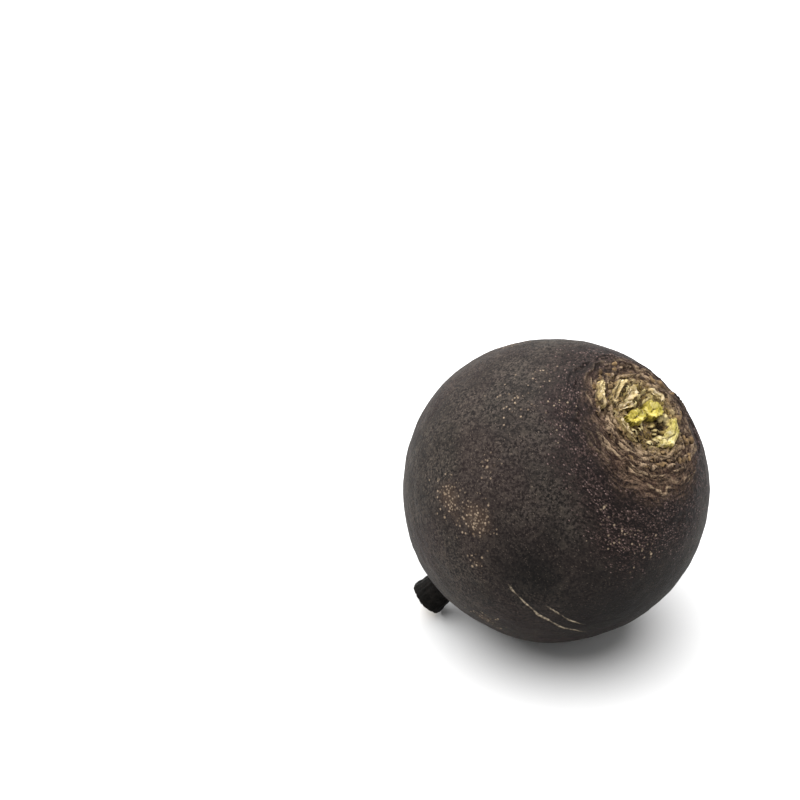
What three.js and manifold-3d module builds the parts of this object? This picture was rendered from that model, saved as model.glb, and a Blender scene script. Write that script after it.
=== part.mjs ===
// A round black radish, lying on its side: the swollen root with its cut taproot, and the
// cut leaf stalks on its crown. Millimetres, +Z up. The origin is the middle of the small
// flat spot that it rests on. The crown points up and to +X, and the taproot down to -X.

import * as THREE from "three";
import Module from "manifold-3d";
import { mergeVertices } from "three/addons/utils/BufferGeometryUtils.js";

const wasm = await Module();
wasm.setup();

// Driving dimensions, in millimetres and degrees.
const BODY_RADIUS = 42.5;
const REST_FLAT_DEPTH = 0.9; // how far the flat spot cuts into the round body
const CROWN_HEIGHT = 39.8; // from the body's centre to the crown's flat plate
const CROWN_SHOULDER = 2; // rounding between the plate and the round body
const CROWN_ELEVATION = 52; // the crown's direction, above the horizon
const CROWN_AZIMUTH = -28; // and from +X towards +Y
const TAPROOT_ELEVATION = 47; // the taproot's direction, below the horizon
const TAPROOT_AZIMUTH = 180;
const TAPROOT_RADIUS = 4.7;
const TAPROOT_FLARE = 0.6; // the dried rim of the cut end stands out by this
const TAPROOT_FLARE_LENGTH = 3;
const TAPROOT_FILLET = 10; // width of the smooth blend from the body into the neck
const BEND_FADE = [25, 110]; // angles from the outline's lower end, over which it bends
const TIP_CLEARANCE = 0.25; // between the cut end's lowest edge and the surface
const STALK_GAP = 0.3; // between a leaf stalk's foot and the crown

// Gentle unevenness of the body: each wave runs along a direction in the crown's frame. It
// fades out on the crown's plate and on the taproot.
const LUMPS = [
  { along: [1.0, 0.3, 0.2], waves: 3.1, height: 0.22, phase: 0.6 },
  { along: [-0.3, 1.0, 0.4], waves: 3.7, height: 0.2, phase: 2.1 },
  { along: [0.2, -0.5, 1.0], waves: 4.6, height: 0.16, phase: 4.0 },
];
const PLATE_FADE = [18, 35]; // angles from the crown's axis
const TAPROOT_FADE = [145, 160];

// Leaf stalks, cut close to the crown. x and y lie on the plate and turn is the direction
// of the stalk's width, from x towards y. A stalk curves round a centre on its left.
const STALKS = [
  { x: -5.3, y: 1.5, turn: -12, width: 5.0, thick: 3.2, curve: 14, height: 2.2 },
  { x: 2.8, y: -1.0, turn: -15, width: 2.6, thick: 4.2, curve: 12, height: 2.0 },
  { x: 0.5, y: -9.1, turn: 2, width: 9.4, thick: 2.8, curve: 7.0, height: 1.7 },
  { x: 0.9, y: 6.5, turn: 178, width: 2.9, thick: 2.8, curve: 10, height: 1.9 },
  { x: -4.2, y: 5.4, turn: 150, width: 3.6, thick: 1.8, curve: 12, height: 1.6 },
  { x: -1.9, y: 10.2, turn: 190, width: 8.2, thick: 1.6, curve: 11, height: 1.6 },
  { x: -7.3, y: 12.8, turn: 207, width: 7.0, thick: 1.7, curve: 15, height: 1.3 },
  { x: -11.0, y: 0.7, turn: 262, width: 6.4, thick: 1.4, curve: 12, height: 1.3 },
  { x: 9.0, y: 1.0, turn: 94, width: 3.0, thick: 2.2, curve: 9, height: 1.5 },
];

const RINGS = 44; // steps along the root's profile
const SECTORS = 56; // steps round it
const ARC_STEPS = 5; // steps along a leaf stalk's curve

const radians = THREE.MathUtils.degToRad;

function direction(elevation, azimuth) {
  const [e, a] = [radians(elevation), radians(azimuth)];
  return new THREE.Vector3(Math.cos(e) * Math.cos(a), Math.cos(e) * Math.sin(a), Math.sin(e));
}

const centreHeight = BODY_RADIUS - REST_FLAT_DEPTH;
const crownAxis = direction(CROWN_ELEVATION, CROWN_AZIMUTH);
const taprootAxis = direction(-TAPROOT_ELEVATION, TAPROOT_AZIMUTH);
const tipRadius = TAPROOT_RADIUS + TAPROOT_FLARE;
// The taproot is as long as it can be with its cut end just clear of the surface.
const taprootEnd =
  (centreHeight - TIP_CLEARANCE - tipRadius * Math.cos(radians(TAPROOT_ELEVATION))) /
  Math.sin(radians(TAPROOT_ELEVATION));

// The crown's own frame: z along the crown's axis, x level, and the body's centre at its origin.
const crownX = new THREE.Vector3(0, 0, 1).cross(crownAxis).normalize();
const crownY = crownAxis.clone().cross(crownX);
const crownFrame = new THREE.Matrix4()
  .makeBasis(crownX, crownY, crownAxis)
  .setPosition(0, 0, centreHeight);

function softMin(a, b, width) {
  const share = Math.max(width - Math.abs(a - b), 0) / width;
  return Math.min(a, b) - (share * share * width) / 4;
}

const softMax = (a, b, width) => -softMin(-a, -b, width);

// Distance from the centre to the surface on the crown's side, at an angle from its axis.
function crownReach(angle) {
  return softMin(BODY_RADIUS, CROWN_HEIGHT / Math.max(Math.cos(angle), 0.1), CROWN_SHOULDER);
}

// Radius round the axis on the taproot's side, at a depth below the body's centre.
function rootRadius(depth) {
  const inside = BODY_RADIUS ** 2 - depth ** 2;
  const round = Math.sign(inside) * Math.sqrt(Math.abs(inside));
  const toEnd = (taprootEnd - depth) / TAPROOT_FLARE_LENGTH;
  const neck = TAPROOT_RADIUS + TAPROOT_FLARE * Math.exp(-toEnd * toEnd);
  return softMax(round, neck, TAPROOT_FILLET);
}

// The root's outline from the cut end's middle to the crown's middle.
function rootProfile() {
  const half = RINGS / 2;
  const points = [new THREE.Vector2(0, -taprootEnd)];
  for (let i = 0; i <= half; i++) {
    // Steps shorten towards the taproot, where the outline bends most.
    const share = 1 - i / half;
    const depth = taprootEnd * Math.sin((share * Math.PI) / 2);
    points.push(new THREE.Vector2(rootRadius(depth), -depth));
  }
  for (let i = 1; i < half; i++) {
    const angle = (Math.PI / 2) * (1 - i / half);
    const reach = crownReach(angle);
    points.push(new THREE.Vector2(reach * Math.sin(angle), reach * Math.cos(angle)));
  }
  points.push(new THREE.Vector2(0, crownReach(0)));
  return points;
}

// How far the surface stands out or in, in a direction from the centre in the crown's frame.
function lump(outward) {
  const angle = outward.angleTo(new THREE.Vector3(0, 0, 1));
  const onBody =
    THREE.MathUtils.smoothstep(angle, ...PLATE_FADE.map(radians)) *
    (1 - THREE.MathUtils.smoothstep(angle, ...TAPROOT_FADE.map(radians)));
  const wave = ({ along, waves, height, phase }) =>
    height * Math.sin(waves * outward.dot(new THREE.Vector3(...along)) + phase);
  return onBody * LUMPS.reduce((sum, each) => sum + wave(each), 0);
}

// Turns the lower half towards the taproot's own direction, all round the body's centre.
function bend(point) {
  const straight = new THREE.Vector3(0, 0, -1);
  const turned = taprootAxis.clone().transformDirection(crownFrame.clone().invert());
  const angle = Math.acos(-point.z / point.length());
  const share = 1 - THREE.MathUtils.smoothstep(angle, ...BEND_FADE.map(radians));
  const full = new THREE.Quaternion().setFromUnitVectors(straight, turned);
  return point.applyQuaternion(new THREE.Quaternion().slerp(full, share));
}

function solidOf(geometry) {
  const bare = geometry.clone();
  bare.deleteAttribute("normal");
  bare.deleteAttribute("uv");
  const merged = mergeVertices(bare, 1e-3);
  return new wasm.Manifold(
    new wasm.Mesh({
      numProp: 3,
      vertProperties: merged.attributes.position.array,
      triVerts: new Uint32Array(merged.index.array),
    }),
  );
}

function geometryOf(solid) {
  const { vertProperties, triVerts } = solid.getMesh();
  const geometry = new THREE.BufferGeometry();
  geometry.setAttribute("position", new THREE.BufferAttribute(vertProperties, 3));
  geometry.setIndex(new THREE.BufferAttribute(triVerts, 1));
  geometry.computeVertexNormals();
  return geometry;
}

// The root: a revolved outline, uneven and bent, stood in place and cut flat where it rests.
function rootGeometry() {
  const lathe = new THREE.LatheGeometry(rootProfile(), SECTORS);
  lathe.rotateX(Math.PI / 2);
  const places = lathe.attributes.position;
  const point = new THREE.Vector3();
  for (let i = 0; i < places.count; i++) {
    point.fromBufferAttribute(places, i);
    const outward = point.clone().normalize();
    point.addScaledVector(outward, lump(outward));
    places.setXYZ(i, ...bend(point));
  }
  lathe.applyMatrix4(crownFrame);
  const size = 4 * BODY_RADIUS;
  const below = new THREE.BoxGeometry(size, size, size).translate(0, 0, -size / 2);
  return geometryOf(solidOf(lathe).subtract(solidOf(below)));
}

// One leaf stalk: a band that curves round the crown, with rounded ends, cut off level.
function stalkGeometry({ width, thick, curve, height }) {
  const half = width / curve / 2;
  const [outer, inner] = [curve + thick / 2, curve - thick / 2];
  const end = (angle) => [curve * Math.cos(angle), curve * Math.sin(angle)];
  const outline = new THREE.Shape();
  outline.absarc(0, 0, outer, -half, half, false);
  outline.absarc(...end(half), thick / 2, half, half + Math.PI, false);
  outline.absarc(0, 0, inner, half, -half, true);
  outline.absarc(...end(-half), thick / 2, -half + Math.PI, -half + 2 * Math.PI, false);
  const options = { depth: height, bevelEnabled: false, curveSegments: ARC_STEPS };
  // The band's middle comes to the origin, with its width along x.
  return new THREE.ExtrudeGeometry(outline, options).translate(-curve, 0, 0).rotateZ(-Math.PI / 2);
}

const skin = new THREE.MeshStandardMaterial({ color: 0x2b2724, roughness: 0.75, metalness: 0 });
const freshStalk = new THREE.MeshStandardMaterial({ color: 0xbfae4a, roughness: 0.6, metalness: 0 });
const dryStalk = new THREE.MeshStandardMaterial({ color: 0xa8966c, roughness: 0.8, metalness: 0 });
const FRESH_STALKS = 3; // the first ones, nearest the middle, are still yellow-green

const radish = new THREE.Group();

const root = new THREE.Mesh(rootGeometry(), skin);
root.name = "radish_root";
radish.add(root);

const crown = new THREE.Group();
crown.applyMatrix4(crownFrame);
radish.add(crown);

STALKS.forEach((stalk, i) => {
  const mesh = new THREE.Mesh(stalkGeometry(stalk), i < FRESH_STALKS ? freshStalk : dryStalk);
  mesh.name = `leaf_stalk_${i + 1}`;
  mesh.position.set(stalk.x, stalk.y, CROWN_HEIGHT + STALK_GAP);
  mesh.rotation.z = radians(stalk.turn);
  crown.add(mesh);
});

export default radish;
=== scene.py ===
"""A round black radish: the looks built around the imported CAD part.

Shapes are worked out in millimetres in the crown's own frame (z out of the crown, the body's
centre at the origin), then placed in the row frame in metres.
"""

import bpy
import numpy as np
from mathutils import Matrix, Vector


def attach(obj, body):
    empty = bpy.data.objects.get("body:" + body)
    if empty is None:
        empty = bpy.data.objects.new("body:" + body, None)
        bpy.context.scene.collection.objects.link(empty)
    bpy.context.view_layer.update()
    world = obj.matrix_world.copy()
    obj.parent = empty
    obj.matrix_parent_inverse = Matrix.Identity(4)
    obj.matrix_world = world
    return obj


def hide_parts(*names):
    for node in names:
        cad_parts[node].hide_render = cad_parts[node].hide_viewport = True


# ------------------------------------------------------------------ driving dimensions, mm, degrees
MM = 0.001
BODY_RADIUS = 42.5
REST_FLAT_DEPTH = 0.9
CENTRE_HEIGHT = BODY_RADIUS - REST_FLAT_DEPTH
CROWN_HEIGHT = 39.8
CROWN_SHOULDER = 2.0
CROWN_ELEVATION, CROWN_AZIMUTH = 52.0, -28.0
TAPROOT_ELEVATION, TAPROOT_AZIMUTH = 47.0, 180.0
TAPROOT_RADIUS = 4.7
TAPROOT_FLARE, TAPROOT_FLARE_LENGTH = 0.6, 3.0
TAPROOT_FILLET = 10.0
TIP_CLEARANCE = 0.25
TIP_RADIUS = TAPROOT_RADIUS + TAPROOT_FLARE
BEND_FADE = (25.0, 110.0)
PLATE_FADE = (18.0, 35.0)
TAPROOT_FADE = (145.0, 160.0)
LUMPS = (
    ((1.0, 0.3, 0.2), 3.1, 0.22, 0.6),
    ((-0.3, 1.0, 0.4), 3.7, 0.2, 2.1),
    ((0.2, -0.5, 1.0), 4.6, 0.16, 4.0),
)
# Leaf stalks on the crown's plate: x, y, turn, width, thick, curve, height
STALKS = (
    (-5.3, 1.5, -12, 5.0, 3.2, 14.0, 2.2),
    (2.8, -1.0, -15, 2.6, 4.2, 12.0, 2.0),
    (0.5, -9.1, 2, 9.4, 2.8, 7.0, 1.7),
    (0.9, 6.5, 178, 2.9, 2.8, 10.0, 1.9),
    (-4.2, 5.4, 150, 3.6, 1.8, 12.0, 1.6),
    (-1.9, 10.2, 190, 8.2, 1.6, 11.0, 1.6),
    (-7.3, 12.8, 207, 7.0, 1.7, 15.0, 1.3),
    (-11.0, 0.7, 262, 6.4, 1.4, 12.0, 1.3),
    (9.0, 1.0, 94, 3.0, 2.2, 9.0, 1.5),
)
FRESH_STALKS = 3
# Rows of healed slits down the body: the row's turn round the crown's axis, and how many.
SCAR_ROWS = ((12.0, 8), (318.0, 9), (75.0, 7))
# Long slits: half width, then turns round the crown's axis with angles from that axis.
LONG_SCARS = (
    (0.5, ((186, 90.6), (196, 93.6), (206, 96.6), (216, 98.4), (226, 98.9), (233, 98.4))),
    (0.4, ((202, 88.4), (211, 90.4), (219, 91.8), (227, 92.4))),
)
FREQUENCY = 98  # steps along an edge of the icosahedron that the root's mesh starts from
SEED = 409
TERRACES = 96  # crescent ridges round the crown
SHREDS = 150  # dry flakes on it
SUN_TOWARD, SUN_ANGLE, SUN_POWER = (0.20, -0.22, -1.0), 100, 8.0
SKY_STRENGTH = 0.55
EYE, EYE_TILT, LENS, SENSOR = (-0.0430, -0.4392, 0.3348), 59, 85, 36

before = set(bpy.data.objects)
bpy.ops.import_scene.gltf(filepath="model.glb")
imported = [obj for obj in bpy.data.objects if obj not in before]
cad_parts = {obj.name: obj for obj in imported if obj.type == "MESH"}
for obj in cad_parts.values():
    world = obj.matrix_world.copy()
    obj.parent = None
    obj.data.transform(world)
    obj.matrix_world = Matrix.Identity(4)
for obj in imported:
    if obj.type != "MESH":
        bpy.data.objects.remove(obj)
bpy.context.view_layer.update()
rng = np.random.default_rng(SEED)


# ------------------------------------------------------------------ noise
def smoothstep(x, low, high):
    t = np.clip((np.asarray(x, float) - low) / (high - low), 0, 1)
    return t * t * (3 - 2 * t)


def hashed(cells, seed):
    """A random number from 0 to 1 for each row of whole numbers."""
    c = cells.astype(np.int64).astype(np.uint32)
    h = c[..., 0] * np.uint32(73856093) ^ c[..., 1] * np.uint32(19349663)
    h = h ^ c[..., 2] * np.uint32(83492791) ^ np.uint32(seed * 2654435761 % 2**32)
    for shift, factor in ((16, 2246822519), (13, 3266489917), (16, 668265263)):
        h = (h ^ (h >> np.uint32(shift))) * np.uint32(factor)
    return (h ^ (h >> np.uint32(15))).astype(float) / 2**32


def noise(points, size, seed):
    """Smooth noise from -1 to 1, with features of about that size."""
    q = points / size
    base = np.floor(q)
    f = q - base
    f = f * f * f * (f * (f * 6 - 15) + 10)
    total = np.zeros(len(points))
    for corner in np.ndindex(2, 2, 2):
        weight = np.prod(np.where(corner, f, 1 - f), axis=1)
        total += weight * hashed(base + corner, seed)
    return total * 2 - 1


def fbm(points, size, seed, octaves=3):
    total, height = np.zeros(len(points)), 1.0
    for octave in range(octaves):
        total += height * noise(points, size / 2**octave, seed + 17 * octave)
        height *= 0.5
    return total


def grains(points, size, seed):
    """Distance to the nearest scattered grain in units of size, and that grain's own number."""
    q = points / size
    base = np.floor(q)
    near, owner = np.full(len(points), 9.0), np.zeros(len(points))
    for step in np.ndindex(3, 3, 3):
        cell = base + np.array(step) - 1
        centre = cell + np.stack([hashed(cell, seed + k) for k in range(3)], axis=1)
        distance = np.linalg.norm(q - centre, axis=1)
        closer = distance < near
        near = np.where(closer, distance, near)
        owner = np.where(closer, hashed(cell, seed + 3), owner)
    return near, owner


# ------------------------------------------------------------------ frames
def direction(elevation, azimuth):
    e, a = np.radians(elevation), np.radians(azimuth)
    return np.array([np.cos(e) * np.cos(a), np.cos(e) * np.sin(a), np.sin(e)])


crown_axis = direction(CROWN_ELEVATION, CROWN_AZIMUTH)
crown_x = np.cross([0, 0, 1], crown_axis)
crown_x /= np.linalg.norm(crown_x)
crown_y = np.cross(crown_axis, crown_x)
CROWN = np.array([crown_x, crown_y, crown_axis])
taproot_axis = CROWN @ direction(-TAPROOT_ELEVATION, TAPROOT_AZIMUTH)
sin_taproot = np.sin(np.radians(TAPROOT_ELEVATION))
tip_drop = TIP_RADIUS * np.cos(np.radians(TAPROOT_ELEVATION))
TAPROOT_END = (CENTRE_HEIGHT - TIP_CLEARANCE - tip_drop) / sin_taproot


def bend(points):
    """Turns the lower half towards the taproot's own direction, round the body's centre."""
    straight = np.array([0, 0, -1.0])
    axis = np.cross(straight, taproot_axis)
    full = np.arcsin(np.linalg.norm(axis))
    axis /= np.linalg.norm(axis)
    reach = np.linalg.norm(points, axis=1)
    angle = np.degrees(np.arccos(np.clip(-points[:, 2] / reach, -1, 1)))
    turn = (full * (1 - smoothstep(angle, *BEND_FADE)))[:, None]
    along = (points @ axis)[:, None] * axis
    return points * np.cos(turn) + np.cross(axis, points) * np.sin(turn) + along * (1 - np.cos(turn))


def to_row(points):
    return (points @ CROWN + [0, 0, CENTRE_HEIGHT]) * MM


def soft_min(a, b, width):
    share = np.maximum(width - np.abs(a - b), 0) / width
    return np.minimum(a, b) - share * share * width / 4


def soft_max(a, b, width):
    return -soft_min(-a, -b, width)


def make_object(name, points, faces, attributes=()):
    mesh = bpy.data.meshes.new(name)
    mesh.from_pydata(points.tolist(), [], [list(map(int, face)) for face in faces])
    mesh.update()
    for key, values in dict(attributes).items():
        values = np.asarray(values, np.float32)
        kind, field = ("FLOAT_VECTOR", "vector") if values.ndim == 2 else ("FLOAT", "value")
        layer = mesh.attributes.new(key, kind, "POINT")
        layer.data.foreach_set(field, values.reshape(-1))
    mesh.polygons.foreach_set("use_smooth", [True] * len(mesh.polygons))
    thing = bpy.data.objects.new(name, mesh)
    bpy.context.scene.collection.objects.link(thing)
    return thing


# ------------------------------------------------------------------ the root's smooth form
def root_outline():
    """The outline from the crown's middle to the cut end's middle: distance along, radius, height."""
    angle = np.radians(np.linspace(0, 90, 900))
    reach = soft_min(BODY_RADIUS, CROWN_HEIGHT / np.maximum(np.cos(angle), 0.1), CROWN_SHOULDER)
    upper = np.stack([reach * np.sin(angle), reach * np.cos(angle)], axis=1)
    depth = TAPROOT_END * np.sin(np.linspace(0, np.pi / 2, 3000))
    inside = BODY_RADIUS**2 - depth**2
    ball = np.sign(inside) * np.sqrt(np.abs(inside))
    to_end = (TAPROOT_END - depth) / TAPROOT_FLARE_LENGTH
    neck = TAPROOT_RADIUS + TAPROOT_FLARE * np.exp(-to_end * to_end)
    lower = np.stack([soft_max(ball, neck, TAPROOT_FILLET), -depth], axis=1)
    cut = np.stack([np.linspace(lower[-1, 0], 0, 80), np.full(80, -TAPROOT_END)], axis=1)
    line = np.concatenate([upper, lower[1:], cut[1:]])
    along = np.concatenate([[0], np.cumsum(np.linalg.norm(np.diff(line, axis=0), axis=1))])
    even = np.arange(0, along[-1], 0.05)
    radius, height = (np.interp(even, along, line[:, k]) for k in (0, 1))
    # A short running mean rounds the cut end's edge.
    kernel = np.ones(13) / 13
    for line_part in (radius, height):
        line_part[6:-6] = np.convolve(line_part, kernel, "valid")
    return even, radius, height


def icosphere(steps):
    """Unit vectors and triangles of an icosahedron with its faces cut into small triangles."""
    g = (1 + 5**0.5) / 2
    corners = np.array(
        [(-1, g, 0), (1, g, 0), (-1, -g, 0), (1, -g, 0), (0, -1, g), (0, 1, g),
         (0, -1, -g), (0, 1, -g), (g, 0, -1), (g, 0, 1), (-g, 0, -1), (-g, 0, 1)], float)
    sides = [(0, 11, 5), (0, 5, 1), (0, 1, 7), (0, 7, 10), (0, 10, 11), (1, 5, 9), (5, 11, 4),
             (11, 10, 2), (10, 7, 6), (7, 1, 8), (3, 9, 4), (3, 4, 2), (3, 2, 6), (3, 6, 8),
             (3, 8, 9), (4, 9, 5), (2, 4, 11), (6, 2, 10), (8, 6, 7), (9, 8, 1)]
    grid = [(i, j) for i in range(steps + 1) for j in range(steps + 1 - i)]
    number = {pair: k for k, pair in enumerate(grid)}
    triangles = []
    for i, j in grid:
        if i + j < steps:
            triangles.append((number[i, j], number[i + 1, j], number[i, j + 1]))
        if i + j < steps - 1:
            triangles.append((number[i + 1, j], number[i + 1, j + 1], number[i, j + 1]))
    triangles = np.array(triangles)
    pairs = np.array(grid)
    share = np.stack([steps - pairs.sum(axis=1), pairs[:, 0], pairs[:, 1]], axis=1) / steps
    points = np.concatenate([share @ corners[list(side)] for side in sides])
    points /= np.linalg.norm(points, axis=1)[:, None]
    faces = np.concatenate([triangles + k * len(grid) for k in range(len(sides))])
    _, first, same = np.unique(np.round(points, 5), axis=0, return_index=True, return_inverse=True)
    return points[first], same.reshape(-1)[faces]


def lump(outward, angle):
    on_body = smoothstep(angle, *PLATE_FADE) * (1 - smoothstep(angle, *TAPROOT_FADE))
    total = sum(h * np.sin(w * (outward @ np.array(a)) + p) for a, w, h, p in LUMPS)
    return on_body * total


def around(angle, phi, centre_angle, centre_phi):
    """Distance over the body in millimetres from a place given by its two angles."""
    a, b = np.radians(angle), np.radians(centre_angle)
    turn = np.radians(phi - centre_phi)
    cosine = np.cos(a) * np.cos(b) + np.sin(a) * np.sin(b) * np.cos(turn)
    return BODY_RADIUS * np.arccos(np.clip(cosine, -1, 1))


def turn_between(phi, centre):
    return (phi - centre + 180) % 360 - 180


# ------------------------------------------------------------------ the root's surface detail
def crown_terraces(along, phi, points):
    """Overlapping crescent ridges that old leaves left round the crown."""
    warp = 1.1 * noise(points, 5.0, 11) + 0.7 * noise(points, 1.9, 12)
    height = np.zeros(len(along))
    for k in range(TERRACES):
        radius = 2.6 + 20.0 * ((k + 0.5) / TERRACES) ** 0.74 + rng.uniform(-0.5, 0.5)
        middle = k * 137.5 + rng.uniform(-15, 15)
        half = np.degrees(rng.uniform(2.0, 8.0) / radius)
        off = turn_between(phi, middle) / half
        window = np.clip(1.15 - off * off, 0, 1)
        # Each crescent curls in a little at its ends.
        across = along + warp - radius + rng.uniform(-0.6, 1.3) * off * off
        thin = 1 - 0.45 * smoothstep(radius, 12, 18)
        outer = np.exp(-((np.maximum(across, 0) / (thin * rng.uniform(0.4, 1.0))) ** 2))
        inner = np.exp(-((np.minimum(across, 0) / rng.uniform(0.22, 0.4)) ** 2))
        rise = rng.uniform(0.45, 1.35) * (1 - 0.4 * smoothstep(radius, 12, 22))
        height = np.maximum(height, rise * window * outer * inner)
    return height


def speck_clusters(angle, phi):
    """How densely pale corky grains cover the skin, from 0 to 1."""
    total = np.zeros(len(angle))
    for a, p, size, dense in (
        (88.4, 151.1, 4.4, 0.9), (81.6, 163.4, 5.0, 1.0), (90.0, 158.0, 3.4, 0.5),
        (50.5, 124.3, 4.5, 0.3), (40.7, 108.5, 4.0, 0.25), (32.6, 136.0, 4.2, 0.25),
        (49.5, 202.0, 4.0, 0.16), (50.0, 213.0, 3.6, 0.22), (51.0, 228.0, 4.0, 0.2),
        (95.5, 176.0, 2.0, 0.6), (66.0, 150.0, 3.0, 0.3),
        (60.0, 20.0, 5.0, 0.8), (84.0, 350.0, 4.2, 0.9), (75.0, 300.0, 4.0, 0.7),
        (100.0, 60.0, 4.4, 0.9), (112.0, 95.0, 4.0, 0.8), (120.0, 320.0, 4.0, 0.8),
        (66.0, 75.0, 3.6, 0.7), (130.0, 200.0, 4.0, 0.7), (140.0, 30.0, 4.6, 0.7),
    ):
        away = around(angle, phi, a, p) / size
        total = np.maximum(total, dense * np.exp(-away * away))
    return total


def scars(angle, phi, points):
    """Pale healed slits that lie along the latitudes: how pale, and how deep in millimetres."""
    pale, depth = np.zeros(len(angle)), np.zeros(len(angle))
    wander = 0.35 * noise(points, 3.0, 31)
    for row_phi, count in SCAR_ROWS:
        for _ in range(count):
            middle, turn = rng.uniform(58, 146), row_phi + rng.uniform(-16, 16)
            half, width = rng.uniform(2.4, 7.5), rng.uniform(0.42, 0.72)
            ring = BODY_RADIUS * np.sin(np.radians(middle))
            away_x = ring * np.radians(turn_between(phi, turn)) / half
            away_y = BODY_RADIUS * np.radians(angle - middle) + wander
            taper = np.sqrt(np.clip(1 - away_x * away_x, 0, 1))
            inside = np.clip(1.3 - np.abs(away_y) / (width * taper + 1e-3), 0, 1) * (taper > 0)
            fresh = 0.35 + 0.65 * (7.3 * middle % 1)
            pale = np.maximum(pale, fresh * inside)
            lip = np.exp(-(((np.abs(away_y) - 1.5 * width) / 0.35) ** 2))
            depth = np.minimum(depth, -0.22 * inside) + 0.07 * lip * taper
    patchy = 0.8 + 0.5 * noise(points, 2.6, 33)
    for width, places in LONG_SCARS:
        turns, levels = np.transpose(places)
        round_turn = phi % 360
        away_y = BODY_RADIUS * np.radians(angle - np.interp(round_turn, turns, levels)) + wander
        taper = smoothstep(round_turn, turns[0], turns[0] + 7)
        taper = taper * (1 - smoothstep(round_turn, turns[-1] - 7, turns[-1]))
        inside = np.clip(1.3 - np.abs(away_y) / (width * patchy + 1e-3), 0, 1) * taper
        pale = np.maximum(pale, patchy * inside)
        depth = np.minimum(depth, -0.2 * inside)
    return pale, depth


def root_masks(along, phi, angle, points, to_tip):
    """Where each part of the root's surface is, from 0 to 1, and where shade is painted on the body's
    lower side.
    """
    low_side = np.exp(-((turn_between(phi, 222.0) / 48.0) ** 2))
    cork_edge = 16.0 + 8.5 * low_side + 2.6 * noise(points, 7.0, 21) + 1.2 * noise(points, 2.5, 22)
    crown = 1 - smoothstep(along, cork_edge - 5, cork_edge + 5)
    rough_edge = 26.0 + 17.0 * low_side + 4.0 * noise(points, 9.0, 23)
    rough = 1 - smoothstep(along, rough_edge - 7, rough_edge + 7)
    on_skin = smoothstep(to_tip, TIP_RADIUS - 0.5, TIP_RADIUS + 0.3)
    cut = 1 - on_skin
    neck = (1 - smoothstep(to_tip, 14, 24)) * on_skin
    # Painted shade: two soft patches darken the body's lower side, standing in for the light falling off
    # there.
    dark = np.exp(-((around(angle, phi, 82.0, 232.0) / 30.0) ** 2))
    dark = np.maximum(dark, np.exp(-((around(angle, phi, 80.0, 192.0) / 15.0) ** 2)))
    brim = np.exp(-(((along - rough_edge + 7.5) / 2.2) ** 2)) * low_side
    purple = smoothstep(fbm(points, 15.0, 41), -0.3, 1.0) * 0.7 + 0.5 * rough * smoothstep(along, 18, 26)
    return {"crown": crown, "rough": rough, "on_skin": on_skin, "cut": cut, "neck": neck,
            "dark": dark, "brim": brim, "purple": np.clip(purple, 0, 1)}


def root_lift(along, phi, angle, points, outward, to_tip, masks):
    """How far the surface stands out along the normal, in millimetres, and the finer masks."""
    crown, rough, on_skin = masks["crown"], masks["rough"], masks["on_skin"]
    cut, neck = masks["cut"], masks["neck"]
    terraces = crown_terraces(along, phi, points) * (1 - smoothstep(along, 22, 28))
    corky = grains(points, 1.5, 51)[0]
    corky_fine = grains(points, 0.8, 52)[0]
    lift = lump(outward, angle)
    lift += 0.18 * noise(points, 13.0, 61) + 0.13 * noise(points, 5.0, 62)
    lift += 0.06 * fbm(points, 2.2, 63)
    lift += terraces
    lift += crown * (0.30 * (0.6 - corky) + 0.14 * (0.6 - corky_fine) + 0.12 * fbm(points, 2.4, 64))
    lift += 0.5 * rough * (1 - crown) * (0.16 * (0.6 - corky) + 0.12 * fbm(points, 1.6, 65))
    # The growing point's hollow is deep between the stalks.
    hollow = np.exp(-((np.hypot(points[:, 0] - 1.2, (points[:, 1] + 5.4) * 1.5) / 2.6) ** 2))
    lift -= 1.1 * hollow * (along < 20)
    dense = speck_clusters(angle, phi)
    near, owner = grains(points, 1.3, 71)
    speck = (owner < dense) * np.clip(1.25 - near * 2.4, 0, 1)
    lift += 0.10 * speck
    pale, groove = scars(angle, phi, points)
    lift += groove * on_skin
    ribs = np.sin(np.radians(phi) * 11 + 2.2 * noise(points, 6.0, 81)) * 0.5
    ribs += np.sin(np.radians(phi) * 23 + 3.0 * noise(points, 4.0, 82)) * 0.3
    lift += neck * (0.16 * ribs + 0.08 * fbm(points, 1.2, 83))
    lift += neck * 0.10 * np.sin(to_tip * 2.1 + 2 * noise(points, 3.0, 84)) * smoothstep(to_tip, 6, 8)
    from_axis = np.hypot(points[:, 0], points[:, 1])
    fibres = noise(points * [1, 1, 0.1], 0.55, 91)
    pith = np.exp(-((from_axis / 2.2) ** 2))
    lift += cut * (0.16 * fibres - 0.35 * pith + 0.12 * noise(points, 1.6, 92))
    finer = {"ridge": np.clip(terraces / 0.8, 0, 1), "dense": dense, "pale": pale * on_skin,
             "hollow": hollow, "from_axis": from_axis / TIP_RADIUS}
    return lift, finer


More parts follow.
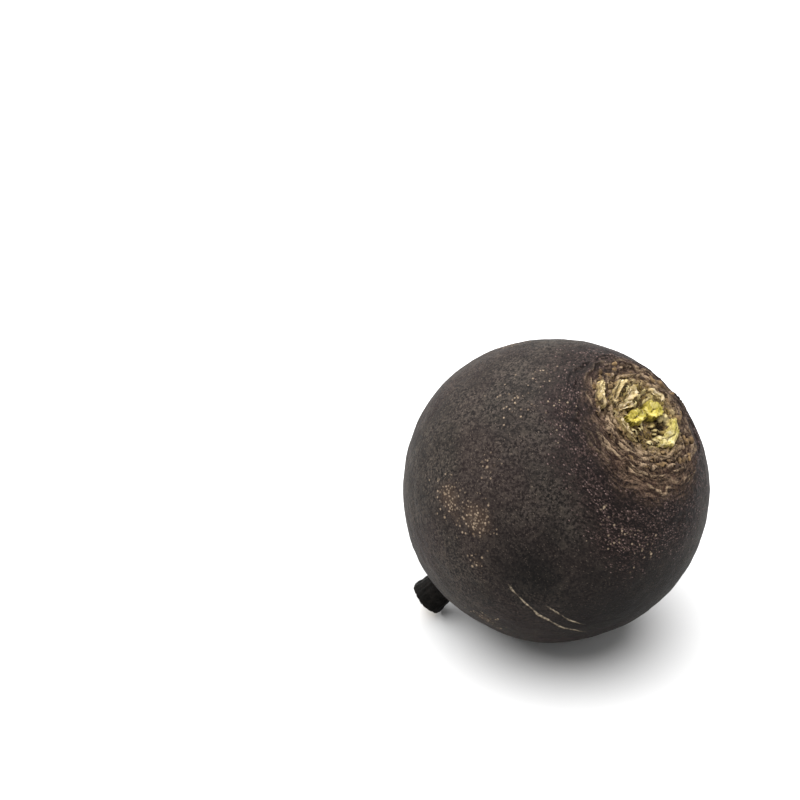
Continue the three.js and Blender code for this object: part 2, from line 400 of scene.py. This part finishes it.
def root_object():
    """The root's mesh: the smooth outline revolved, with its surface detail, bent and stood in place."""
    sphere, faces = icosphere(FREQUENCY)
    along_line, radius_line, height_line = root_outline()
    total = along_line[-1]
    # The mesh is finest on the crown, and finer again at the healed slits and the taproot.
    weight = 1 + 1.8 * (1 - smoothstep(along_line, 20, 32))
    weight += 0.7 * np.exp(-(((along_line - 68) / 7) ** 2))
    weight += 0.7 * smoothstep(along_line, total - 22, total - 12)
    share = np.concatenate([[0], np.cumsum((weight[1:] + weight[:-1]) / 2)])
    share *= np.pi / share[-1]
    from_pole = np.arccos(np.clip(sphere[:, 2], -1, 1))
    turn = np.arctan2(sphere[:, 1], sphere[:, 0])
    along = np.interp(from_pole, share, along_line)
    radius = np.interp(along, along_line, radius_line)
    height = np.interp(along, along_line, height_line)
    steep = np.gradient(height_line, along_line), np.gradient(radius_line, along_line)
    out_r = -np.interp(along, along_line, steep[0])
    out_z = np.interp(along, along_line, steep[1])
    cosine, sine = np.cos(turn), np.sin(turn)
    points = np.stack([radius * cosine, radius * sine, height], axis=1)
    normals = np.stack([out_r * cosine, out_r * sine, out_z], axis=1)
    normals /= np.linalg.norm(normals, axis=1)[:, None]
    phi = np.degrees(turn)
    outward = points / np.linalg.norm(points, axis=1)[:, None]
    angle = np.degrees(np.arccos(np.clip(outward[:, 2], -1, 1)))
    to_tip = total - along
    masks = root_masks(along, phi, angle, points, to_tip)
    lift, finer = root_lift(along, phi, angle, points, outward, to_tip, masks)
    placed = to_row(bend(points + normals * lift[:, None]))
    placed[:, 2] = soft_max(placed[:, 2], 0 * placed[:, 2], 0.4 * MM)
    banded = np.stack([points[:, 0], points[:, 1], points[:, 2] * 2.2], axis=1) * MM
    # Round the crown: the streaks that follow these coordinates run along its rings.
    wound = along + 1.0 * noise(points, 6.0, 25) + 0.4 * noise(points, 2.2, 26)
    ringed = np.stack([4.5 * cosine, 4.5 * sine, wound], axis=1) * MM
    thing = make_object("radish_root_looks", placed, faces, {
        **masks, **finer, "banded": banded, "ringed": ringed,
        "near_middle": 1 - smoothstep(along, 8, 15),
    })
    add_bake_map(thing, from_pole, turn, faces)
    return thing


def add_bake_map(thing, from_pole, turn, faces):
    """Two flat discs, one looking down on the crown and one on the taproot."""
    layer = thing.data.uv_layers.new(name="OFBake")
    upper = from_pole[faces].mean(axis=1) < np.pi / 2
    upper = np.repeat(upper, 3)
    corner_pole = from_pole[faces].reshape(-1)
    corner_turn = turn[faces].reshape(-1)
    reach = np.where(upper, corner_pole, np.pi - corner_pole) / (np.pi / 2 + 0.03) * 0.285
    side = np.where(upper, 1, -1)
    middle = np.where(upper, 0.29, 0.71)
    u = middle + reach * np.cos(corner_turn) * side
    v = 1 - middle + reach * np.sin(corner_turn)
    layer.data.foreach_set("uv", np.stack([u, v], axis=1).reshape(-1).astype(np.float32))


# ------------------------------------------------------------------ leaf stalks
def tube_faces(rings, sides):
    faces = []
    for ring in range(rings - 1):
        a = ring * sides + np.arange(sides)
        b = ring * sides + (np.arange(sides) + 1) % sides
        faces.extend(np.stack([a, b, b + sides, a + sides], axis=1).tolist())
    return faces


def stalk_object(index, spec, plate):
    """One cut leaf stalk: a curved band with ribs down its sides and a fibrous cut face."""
    x, y, turn, width, thick, curve, height = spec
    sides, levels, inner = 96, 18, 12
    fresh = index < FRESH_STALKS
    angle = np.linspace(0, 2 * np.pi, sides, endpoint=False)
    # The outline in band coordinates: u along the width and v across it.
    width, thick = 1.06 * width, 1.12 * thick
    u0 = width / 2 * np.sign(np.cos(angle)) * np.abs(np.cos(angle)) ** 0.6
    v0 = thick / 2 * np.sin(angle)
    u0 = u0 + thick / 2 * np.cos(angle)
    wobble = 1 + 0.28 * noise(np.stack([u0, v0, 0 * u0 + index * 9.0], axis=1), 1.3, 101)
    ribs = 0.05 * np.cos(angle * 17 + index) + 0.03 * np.cos(angle * 29 + 2 * index)
    top = height + 0.35
    lean = np.radians(rng.uniform(-10, 10, 2))
    rows, cut_face, share_up = [], [], []
    for level in range(levels):
        t = level / (levels - 1)
        spread = 1 + 0.14 * (1 - t) ** 2 - 0.02 * t
        spread = spread * (wobble + ribs * (0.5 + t))
        rows.append(np.stack([u0 * spread, v0 * spread, np.full(sides, t)], axis=1))
        cut_face.append(np.zeros(sides))
        share_up.append(np.full(sides, t))
    rim = rows[-1]
    for ring in range(1, inner + 1):
        t = 1 - ring / (inner + 0.0)
        inset = max(t, 0.02)
        rows.append(np.stack([rim[:, 0] * inset, rim[:, 1] * inset, np.ones(sides)], axis=1))
        cut_face.append(np.full(sides, min(1.0, ring / 1.5)))
        share_up.append(np.full(sides, 1.0))
    flat = np.concatenate(rows)
    cut_face = np.concatenate(cut_face)
    share_up = np.concatenate(share_up)
    u, v, t = flat.T
    ends = np.clip(np.abs(u) / (width / 2 + thick / 2), 0, 1)
    place = np.stack([u, v, 0 * u + 13.0 * index], axis=1)
    torn = 0.55 * noise(place, 1.7, 111) + 0.28 * noise(place, 0.7, 112)
    slit_line = v - 0.25 * u * rng.uniform(-1, 1) + 0.35 * noise(place, 1.6, 113)
    slit = np.exp(-((slit_line / 0.22) ** 2)) * np.exp(-((u / (0.45 * width)) ** 4)) * cut_face
    shrink = (0.22 if fresh else 0.36) * ends**2
    reach_up = top * (1 - shrink) + torn * (1.0 if fresh else 1.3)
    reach_up = reach_up - 0.6 * slit
    reach_up = reach_up + u * np.sin(lean[0]) + v * np.sin(lean[1])
    # Pith sinks a little as the cut face dries.
    inward = 1 - np.clip(np.hypot(u / (width / 2 + thick / 2), v / (thick / 2)), 0, 1)
    reach_up = reach_up - cut_face * (0.45 if fresh else 0.6) * smoothstep(inward, 0.12, 0.75)
    w = -0.7 + t * (np.maximum(reach_up, 0.5) + 0.7)
    # The band curves round its centre, and turns into place on the plate.
    bent = u / curve
    px = (curve + -v) * np.sin(bent)
    py = curve - (curve + -v) * np.cos(bent)
    rumple = np.stack([px, py, w + 7.0 * index], axis=1)
    px = px + 0.3 * noise(rumple, 1.6, 121) + 0.09 * noise(rumple, 0.6, 122)
    py = py + 0.3 * noise(rumple, 1.6, 123) + 0.09 * noise(rumple, 0.6, 124)
    w = w + 0.05 * noise(rumple, 0.45, 125) * share_up
    c, s = np.cos(np.radians(turn)), np.sin(np.radians(turn))
    points = np.stack([x + px * c - py * s, y + px * s + py * c, plate + w], axis=1)
    rings = levels + inner
    faces = tube_faces(rings, sides)
    faces.append(list(range(sides))[::-1])
    last = (rings - 1) * sides
    faces.append(list(range(last, last + sides)))
    thing = make_object(f"leaf_stalk_{index + 1}_looks", to_row(points), faces, {
        "cut_face": cut_face, "share_up": share_up, "ends": ends,
        "across": np.clip(np.abs(v) / (thick / 2), 0, 1), "place_u": u, "slit": slit,
    })
    return thing


def shred_points(length, width, thick, curl, seed):
    """A small dry flake: a thin curled strip, closed all round."""
    across, steps = 6, 10
    rows = []
    for i in range(steps):
        t = i / (steps - 1)
        half = width / 2 * (np.sin(np.pi * (0.12 + 0.80 * t)) ** 0.7)
        rise = length * np.sin(curl * t) / curl
        out = length * (1 - np.cos(curl * t)) / curl
        for side in (1, -1):
            for j in range(across):
                s = (j / (across - 1) * 2 - 1) * side
                cup = 0.25 * width * s * s
                rows.append((s * half, out + cup + side * thick / 2 * (1 - 0.7 * s * s), rise))
    points = np.array(rows)
    points[:, 2] += 0.25 * noise(points + seed, 0.9, 131) * (points[:, 2] > length * 0.5)
    sides = across * 2
    faces = tube_faces(steps, sides)
    faces.append(list(range(sides))[::-1])
    faces.append(list(range((steps - 1) * sides, steps * sides)))
    return points, faces


def shreds_object(plate):
    """Dry scraps of old leaf bases that stand between the stalks and on the rings."""
    points, faces, tone, age, up = [], [], [], [], []
    start = 0
    for k in range(SHREDS):
        radius = 1.0 + 15.0 * ((k + 0.5) / SHREDS) ** 0.62
        phi = np.radians(k * 137.5 + 20 * rng.uniform(-1, 1))
        outer = smoothstep(radius, 4, 15)
        length = rng.uniform(1.9, 3.3) * (1 - 0.5 * outer)
        width = rng.uniform(0.9, 3.4)
        local, strip = shred_points(length, width, 0.34, rng.uniform(0.3, 1.2), k * 5.0)
        lean = rng.uniform(0.0, 0.5) + 0.4 * outer
        turned = local.copy()
        turned[:, 1] = local[:, 1] * np.cos(lean) + local[:, 2] * np.sin(lean)
        turned[:, 2] = local[:, 2] * np.cos(lean) - local[:, 1] * np.sin(lean)
        turned[:, 1] -= turned[:, 0] ** 2 / (2 * radius + 3)
        face_out = phi - np.pi / 2 + rng.uniform(-0.5, 0.5)
        c, s = np.cos(face_out), np.sin(face_out)
        x = turned[:, 0] * c - turned[:, 1] * s + radius * np.cos(phi)
        y = turned[:, 0] * s + turned[:, 1] * c + radius * np.sin(phi)
        ball = np.sqrt(np.maximum(BODY_RADIUS**2 - radius**2, 1))
        ground = soft_min(ball, plate, 0.4)
        points.append(np.stack([x, y, ground - 0.35 + turned[:, 2]], axis=1))
        faces.extend([[start + n for n in face] for face in strip])
        tone.append(np.full(len(local), rng.uniform(0, 1)))
        age.append(np.full(len(local), outer))
        up.append(np.clip(local[:, 2] / length, 0, 1))
        start += len(local)
    marks = {"tone": np.concatenate(tone), "age": np.concatenate(age), "up": np.concatenate(up)}
    return make_object("crown_shreds", to_row(np.concatenate(points)), faces, marks)


# ------------------------------------------------------------------ materials
class Nodes:
    """Short ways to build one material's node tree."""

    def __init__(self, name):
        self.material = bpy.data.materials.new(name)
        self.material.use_nodes = True
        self.tree = self.material.node_tree
        self.shader = self.tree.nodes["Principled BSDF"]
        self.coords = self.tree.nodes.new("ShaderNodeTexCoord").outputs["Object"]

    def put(self, socket, value):
        if isinstance(value, bpy.types.NodeSocket):
            self.tree.links.new(value, socket)
        elif isinstance(value, tuple) and len(value) == 3 and socket.type == "RGBA":
            socket.default_value = (*value, 1)
        else:
            socket.default_value = value

    def attribute(self, name):
        node = self.tree.nodes.new("ShaderNodeAttribute")
        node.attribute_name = name
        return node.outputs["Fac"]

    def vector(self, name):
        node = self.tree.nodes.new("ShaderNodeAttribute")
        node.attribute_name = name
        return node.outputs["Vector"]

    def noise(self, size, detail=3.0, rough=0.6, coords=None, distortion=0.0):
        node = self.tree.nodes.new("ShaderNodeTexNoise")
        self.put(node.inputs["Vector"], coords or self.coords)
        node.inputs["Scale"].default_value = 1 / (size * MM)
        node.inputs["Detail"].default_value = detail
        node.inputs["Roughness"].default_value = rough
        node.inputs["Distortion"].default_value = distortion
        return node.outputs["Fac"]

    def cells(self, size, feature="F1", output="Distance", coords=None, randomness=1.0):
        node = self.tree.nodes.new("ShaderNodeTexVoronoi")
        node.feature = feature
        self.put(node.inputs["Vector"], coords or self.coords)
        node.inputs["Scale"].default_value = 1 / (size * MM)
        node.inputs["Randomness"].default_value = randomness
        return node.outputs[output]

    def math(self, operation, a, b=0.0, c=None, clamp=False):
        node = self.tree.nodes.new("ShaderNodeMath")
        node.operation = operation
        node.use_clamp = clamp
        self.put(node.inputs[0], a)
        self.put(node.inputs[1], b)
        if c is not None:
            self.put(node.inputs[2], c)
        return node.outputs[0]

    def span(self, value, low, high, to_low=0.0, to_high=1.0):
        node = self.tree.nodes.new("ShaderNodeMapRange")
        node.interpolation_type = "SMOOTHSTEP"
        self.put(node.inputs["Value"], value)
        ends = (("From Min", low), ("From Max", high), ("To Min", to_low), ("To Max", to_high))
        for key, number in ends:
            self.put(node.inputs[key], number)
        return node.outputs["Result"]

    def mix(self, factor, a, b, blend="MIX"):
        node = self.tree.nodes.new("ShaderNodeMix")
        node.data_type = "RGBA"
        node.blend_type = blend
        node.clamp_factor = True
        self.put(node.inputs[0], factor)
        self.put(node.inputs[6], a)
        self.put(node.inputs[7], b)
        return node.outputs[2]

    def split(self, colour, part):
        node = self.tree.nodes.new("ShaderNodeSeparateColor")
        self.put(node.inputs[0], colour)
        return node.outputs[part]

    def bump(self, height, strength, distance):
        node = self.tree.nodes.new("ShaderNodeBump")
        node.inputs["Strength"].default_value = strength
        node.inputs["Distance"].default_value = distance * MM
        self.put(node.inputs["Height"], height)
        self.put(self.shader.inputs["Normal"], node.outputs["Normal"])


def srgb(red, green, blue):
    """Linear colour from the usual 0 to 255 values."""
    value = np.array([red, green, blue]) / 255
    linear = np.where(value <= 0.04045, value / 12.92, ((value + 0.055) / 1.055) ** 2.4)
    return tuple(float(v) for v in linear)


def grain_layer(n, size, density, coords=None, low=0.18, high=0.38):
    """Scattered round grains: how much each point is grain, and the grain's own random colour."""
    own = n.cells(size, "F1", "Color", coords)
    far = n.cells(size, "F1", "Distance", coords)
    chosen = n.math("LESS_THAN", n.split(own, 0), density)
    return n.math("MULTIPLY", chosen, n.span(far, high, low)), own


def black_skin(n, fine, banded):
    """Fine grey mottling over near-black, browner and purpler in patches, with tiny flecks, and painted
    shade on the body's lower side.
    """
    broad = n.noise(8.0, 3, 0.55)
    skin = n.mix(n.span(fine, 0.42, 0.64), srgb(17, 15, 14), srgb(68, 61, 56))
    skin = n.mix(n.span(n.noise(1.9, 4, 0.7), 0.48, 0.66, 0.0, 0.55), skin, srgb(72, 65, 58))
    skin = n.mix(n.span(broad, 0.42, 0.66, 0.0, 0.5), skin, srgb(28, 25, 23))
    skin = n.mix(n.math("MULTIPLY", n.attribute("purple"), 0.34), skin, srgb(44, 30, 31))
    # Painted shade: the body's lower side is mixed towards near-black.
    skin = n.mix(n.math("MULTIPLY", n.attribute("dark"), 0.8), skin, srgb(9, 8, 8))
    # Tiny pale flecks all over, dimmed in the painted shade on the lower side.
    fleck, fleck_own = grain_layer(n, 0.75, 0.30, banded)
    fleck_share = n.math("MULTIPLY", fleck, n.span(n.attribute("dark"), 0.0, 1.0, 0.65, 0.3))
    skin = n.mix(fleck_share, skin,
                 n.mix(n.split(fleck_own, 1), srgb(112, 100, 88), srgb(52, 46, 42)))
    return skin, fleck


def rough_zone(n, skin, rough, banded, ringed):
    """The dark zone below the crown, with pinkish grains that lie in bands."""
    bands = n.span(n.noise(2.6, 3, 0.6, ringed), 0.44, 0.62)
    bands = n.math("MAXIMUM", bands, n.attribute("brim"))
    brown_light = n.mix(bands, srgb(62, 49, 46), srgb(86, 70, 65))
    brown = n.mix(n.span(n.noise(1.0, 4, 0.8, banded), 0.48, 0.68), srgb(14, 10, 10), brown_light)
    skin = n.mix(n.math("MULTIPLY", rough, 0.85), skin, brown)
    grain_share = n.math("MULTIPLY", rough, n.math("MULTIPLY_ADD", bands, 0.50, 0.14))
    grain, own = grain_layer(n, 0.8, grain_share, banded, 0.2, 0.5)
    skin = n.mix(n.math("MULTIPLY", grain, 0.8), skin,
                 n.mix(n.split(own, 1), srgb(122, 102, 97), srgb(60, 47, 45)))
    return skin, grain


def corky_specks(n, skin, dense):
    """Clusters of pale corky grains."""
    skin = n.mix(n.span(dense, 0.1, 0.9, 0.0, 0.5), skin, srgb(66, 53, 43))
    small, small_own = grain_layer(n, 0.72, n.math("MULTIPLY", dense, 0.95), None, 0.24, 0.56)
    large, large_own = grain_layer(n, 1.2, n.math("MULTIPLY", dense, 0.4), None, 0.18, 0.4)
    skin = n.mix(n.math("MULTIPLY", small, 0.85), skin,
                 n.mix(n.split(small_own, 1), srgb(148, 130, 110), srgb(58, 48, 40)))
    skin = n.mix(n.math("MULTIPLY", large, 0.9), skin,
                 n.mix(n.split(large_own, 1), srgb(158, 140, 118), srgb(92, 77, 63)))
    return skin, small


def corky_crown(n, ridge, ringed):
    """Tan ridges over dark brown gaps, with painted shade in the growing point's hollow."""
    cork_noise = n.noise(1.0, 5, 0.8, distortion=0.8)
    streak = n.noise(0.9, 4, 0.7, ringed, 0.5)
    cork = n.mix(n.span(cork_noise, 0.44, 0.62), srgb(18, 12, 10), srgb(112, 90, 72))
    streaked = n.mix(n.span(streak, 0.45, 0.60), srgb(16, 10, 9), srgb(130, 108, 90))
    cork = n.mix(0.5, cork, streaked)
    cork = n.mix(n.span(n.noise(3.4, 3), 0.45, 0.7, 0.0, 0.5), cork, srgb(60, 42, 38))
    tan_ridge = n.mix(n.span(streak, 0.40, 0.58), srgb(54, 41, 34), srgb(168, 145, 118))
    cork = n.mix(n.span(ridge, 0.15, 0.6, 0.0, 0.85), cork, tan_ridge)
    pores = n.span(n.noise(0.55, 3, 0.7), 0.40, 0.52, 0.55, 0.0)
    cork = n.mix(pores, cork, srgb(22, 15, 12))
    middle = n.mix(n.span(cork_noise, 0.44, 0.60), srgb(20, 13, 6), srgb(150, 126, 70))
    cork = n.mix(n.math("MULTIPLY", n.attribute("near_middle"), 0.65), cork, middle)
    # Painted shade: the growing point's hollow is coloured near black, as shade in the recess.
    cork = n.mix(n.attribute("hollow"), cork, srgb(14, 9, 5))
    return cork, streak


def scars_and_taproot(n, colour):
    """Healed slits, the neck with its painted shade, and the cut face of the taproot."""
    scar_tone = n.mix(n.span(n.noise(0.8, 3), 0.35, 0.65), srgb(84, 75, 64), srgb(158, 145, 124))
    colour = n.mix(n.span(n.attribute("pale"), 0.15, 0.85), colour, scar_tone)
    # The neck is dark skin, painted darker still, near black, as painted shade for the shadow the stub
    # lies in.
    neck_skin_and_painted_shade = n.mix(n.span(n.noise(1.5, 4, 0.7), 0.4, 0.65), srgb(4, 4, 3), srgb(14, 12, 10))
    colour = n.mix(n.math("MULTIPLY", n.attribute("neck"), 0.92), colour, neck_skin_and_painted_shade)
    rings = n.math("SINE", n.math("MULTIPLY", n.attribute("from_axis"), 26.0))
    flesh = n.mix(n.span(n.noise(0.7, 4, 0.7), 0.35, 0.65), srgb(128, 108, 74), srgb(180, 162, 126))
    flesh = n.mix(n.span(rings, 0.2, 1.0, 0.0, 0.35), flesh, srgb(112, 88, 56))
    flesh = n.mix(n.span(n.attribute("from_axis"), 0.78, 0.98), flesh, srgb(26, 19, 14))
    colour = n.mix(n.attribute("cut"), colour, flesh)
    return colour


def skin_material():
    """The whole root: black skin, rough zone, corky crown, scars and taproot."""
    n = Nodes("radish_skin")
    crown, rough, ridge = (n.attribute(k) for k in ("crown", "rough", "ridge"))
    dense, banded = n.attribute("dense"), n.vector("banded")
    ringed, fine = n.vector("ringed"), n.noise(0.7, 5, 0.75)
    skin, fleck = black_skin(n, fine, banded)
    skin, grain = rough_zone(n, skin, rough, banded, ringed)
    skin, small = corky_specks(n, skin, dense)
    cork, streak = corky_crown(n, ridge, ringed)
    colour = scars_and_taproot(n, n.mix(crown, skin, cork))
    n.put(n.shader.inputs["Base Color"], colour)
    dry = n.math("ADD", n.math("MULTIPLY", crown, 0.22), n.span(fine, 0.3, 0.7, 0.52, 0.68), clamp=True)
    n.put(n.shader.inputs["Roughness"], dry)
    n.shader.inputs["Specular IOR Level"].default_value = 0.06
    height = n.math("MULTIPLY_ADD", n.noise(0.5, 4, 0.7), 0.7, n.math("MULTIPLY", n.noise(2.0, 3), 0.5))
    for layer, lift in ((grain, 0.5), (small, 0.45), (fleck, 0.2)):
        height = n.math("MULTIPLY_ADD", layer, lift, height)
    crown_grain = n.math("ADD", n.noise(0.9, 5, 0.75), streak)
    corky = n.math("MULTIPLY", crown_grain, n.math("MULTIPLY", crown, 1.2))
    n.bump(n.math("ADD", height, corky), 0.8, 0.35)
    return n.material


def stalk_material(name, dark, light, face_dark, face_light, rim_and_base_shade, cream, far_end):
    n = Nodes(name)
    along = n.noise(1.2, 4, 0.65)
    side = n.mix(n.span(along, 0.35, 0.65), dark, light)
    # Painted shade: the lower part of each stalk's side fades to the darker rim colour where it stands
    # down in the crown.
    side = n.mix(n.span(n.attribute("share_up"), 0.55, 0.0), side, rim_and_base_shade)
    face = n.mix(n.span(n.noise(0.8, 4, 0.7, distortion=0.5), 0.35, 0.66), face_dark, face_light)
    # Dots where the veins were cut, in a row along the band.
    dots = n.cells(1.5, "F1", "Distance")
    face = n.mix(n.span(dots, 0.26, 0.12, 0.0, 0.55), face, dark)
    # The cut face's rim takes the same darker colour as its own outer skin.
    face = n.mix(n.span(n.attribute("across"), 0.72, 1.0, 0.0, 0.6), face, rim_and_base_shade)
    face = n.mix(n.span(n.noise(1.7, 3, 0.6), 0.47, 0.60, 0.0, 0.75), face, cream)
    face = n.mix(n.span(n.attribute("place_u"), 0.6, 2.6, 0.0, 0.55), face, far_end)
    colour = n.mix(n.attribute("cut_face"), side, face)
    # Painted shade: the split in the cut face is coloured dark, as shade inside the crack.
    colour = n.mix(n.span(n.attribute("slit"), 0.25, 0.8, 0.0, 0.6), colour, srgb(34, 26, 8))
    n.put(n.shader.inputs["Base Color"], colour)
    n.put(n.shader.inputs["Roughness"], n.span(along, 0.3, 0.7, 0.45, 0.7))
    n.shader.inputs["Specular IOR Level"].default_value = 0.3
    n.bump(n.math("ADD", n.noise(0.6, 4, 0.7), n.math("MULTIPLY", dots, 0.4)), 0.6, 0.3)
    return n.material


def shred_material():
    n = Nodes("dry_shreds")
    tone, age = n.attribute("tone"), n.attribute("age")
    young = n.mix(tone, srgb(120, 100, 44), srgb(208, 192, 142))
    old = n.mix(tone, srgb(48, 34, 24), srgb(128, 104, 72))
    base = n.mix(n.span(age, 0.1, 0.75), young, old)
    base = n.mix(n.span(n.noise(1.0, 4, 0.7), 0.38, 0.62, 0.0, 0.6), base, srgb(40, 27, 16))
    # Painted shade: each flake darkens towards its foot, where it stands down among the others on the
    # crown.
    base = n.mix(n.span(n.attribute("up"), 0.1, 0.7, 0.8, 0.0), base, srgb(24, 15, 9))
    n.put(n.shader.inputs["Base Color"], base)
    n.put(n.shader.inputs["Roughness"], n.span(tone, 0.0, 1.0, 0.7, 0.85))
    n.shader.inputs["Specular IOR Level"].default_value = 0.2
    n.bump(n.noise(0.5, 4, 0.7), 0.6, 0.25)
    return n.material


def wear(thing, material, nodes=()):
    thing.data.materials.append(material)
    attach(thing, "root")
    if nodes:
        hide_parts(*nodes)


# ------------------------------------------------------------------ the radish
root = root_object()
wear(root, skin_material(), ["radish_root"])

fresh_deep = stalk_material("fresh_stalk_deep", srgb(84, 72, 16), srgb(164, 148, 56),
                            srgb(140, 124, 26), srgb(184, 170, 72), srgb(58, 46, 18),
                            srgb(192, 178, 112), srgb(116, 108, 14))
fresh_pale = stalk_material("fresh_stalk_pale", srgb(98, 84, 32), srgb(184, 168, 100),
                            srgb(150, 134, 60), srgb(200, 186, 126), srgb(80, 62, 30),
                            srgb(206, 194, 152), srgb(148, 136, 36))
dry_pale = stalk_material("dry_stalk", srgb(60, 44, 24), srgb(158, 138, 92),
                          srgb(118, 98, 58), srgb(194, 176, 128), srgb(44, 31, 18),
                          srgb(204, 188, 158), srgb(140, 116, 70))
for number, spec in enumerate(STALKS):
    stalk = stalk_object(number, spec, CROWN_HEIGHT)
    looks = dry_pale if number >= FRESH_STALKS else (fresh_pale if number == 2 else fresh_deep)
    wear(stalk, looks, [f"leaf_stalk_{number + 1}"])
wear(shreds_object(CROWN_HEIGHT), shred_material())


# ------------------------------------------------------------------ floor, light and camera
def floor_object():
    bpy.ops.mesh.primitive_plane_add(size=6, location=(0, 0, -0.0001))
    floor = bpy.context.object
    floor.name = "floor"
    n = Nodes("floor")
    tone = n.mix(n.noise(40.0, 2), (0.60, 0.60, 0.60), (0.62, 0.62, 0.62))
    n.put(n.shader.inputs["Base Color"], tone)
    n.shader.inputs["Roughness"].default_value = 0.9
    n.shader.inputs["Specular IOR Level"].default_value = 0.2
    floor.data.materials.append(n.material)


def sky_light(name, toward, angle, power):
    """A wide soft light from far away, shining along a direction."""
    data = bpy.data.lights.new(name, "SUN")
    data.angle = np.radians(angle)
    data.energy = power
    lamp = bpy.data.objects.new(name, data)
    lamp.rotation_euler = Vector(toward).to_track_quat("-Z", "Y").to_euler()
    bpy.context.scene.collection.objects.link(lamp)


def camera():
    data = bpy.data.cameras.new("camera")
    data.lens = LENS
    data.sensor_width = SENSOR
    eye = bpy.data.objects.new("camera", data)
    eye.location = EYE
    eye.rotation_euler = (np.radians(EYE_TILT), 0, 0)
    bpy.context.scene.collection.objects.link(eye)
    bpy.context.scene.camera = eye


def surroundings():
    world = bpy.data.worlds.new("white")
    world.use_nodes = True
    world.node_tree.nodes["Background"].inputs["Color"].default_value = (1, 1, 1, 1)
    world.node_tree.nodes["Background"].inputs["Strength"].default_value = SKY_STRENGTH
    bpy.context.scene.world = world
    bpy.context.scene.view_settings.view_transform = "Standard"
    bpy.context.scene.view_settings.look = "None"


floor_object()
sky_light("top", SUN_TOWARD, SUN_ANGLE, SUN_POWER)
surroundings()
camera()
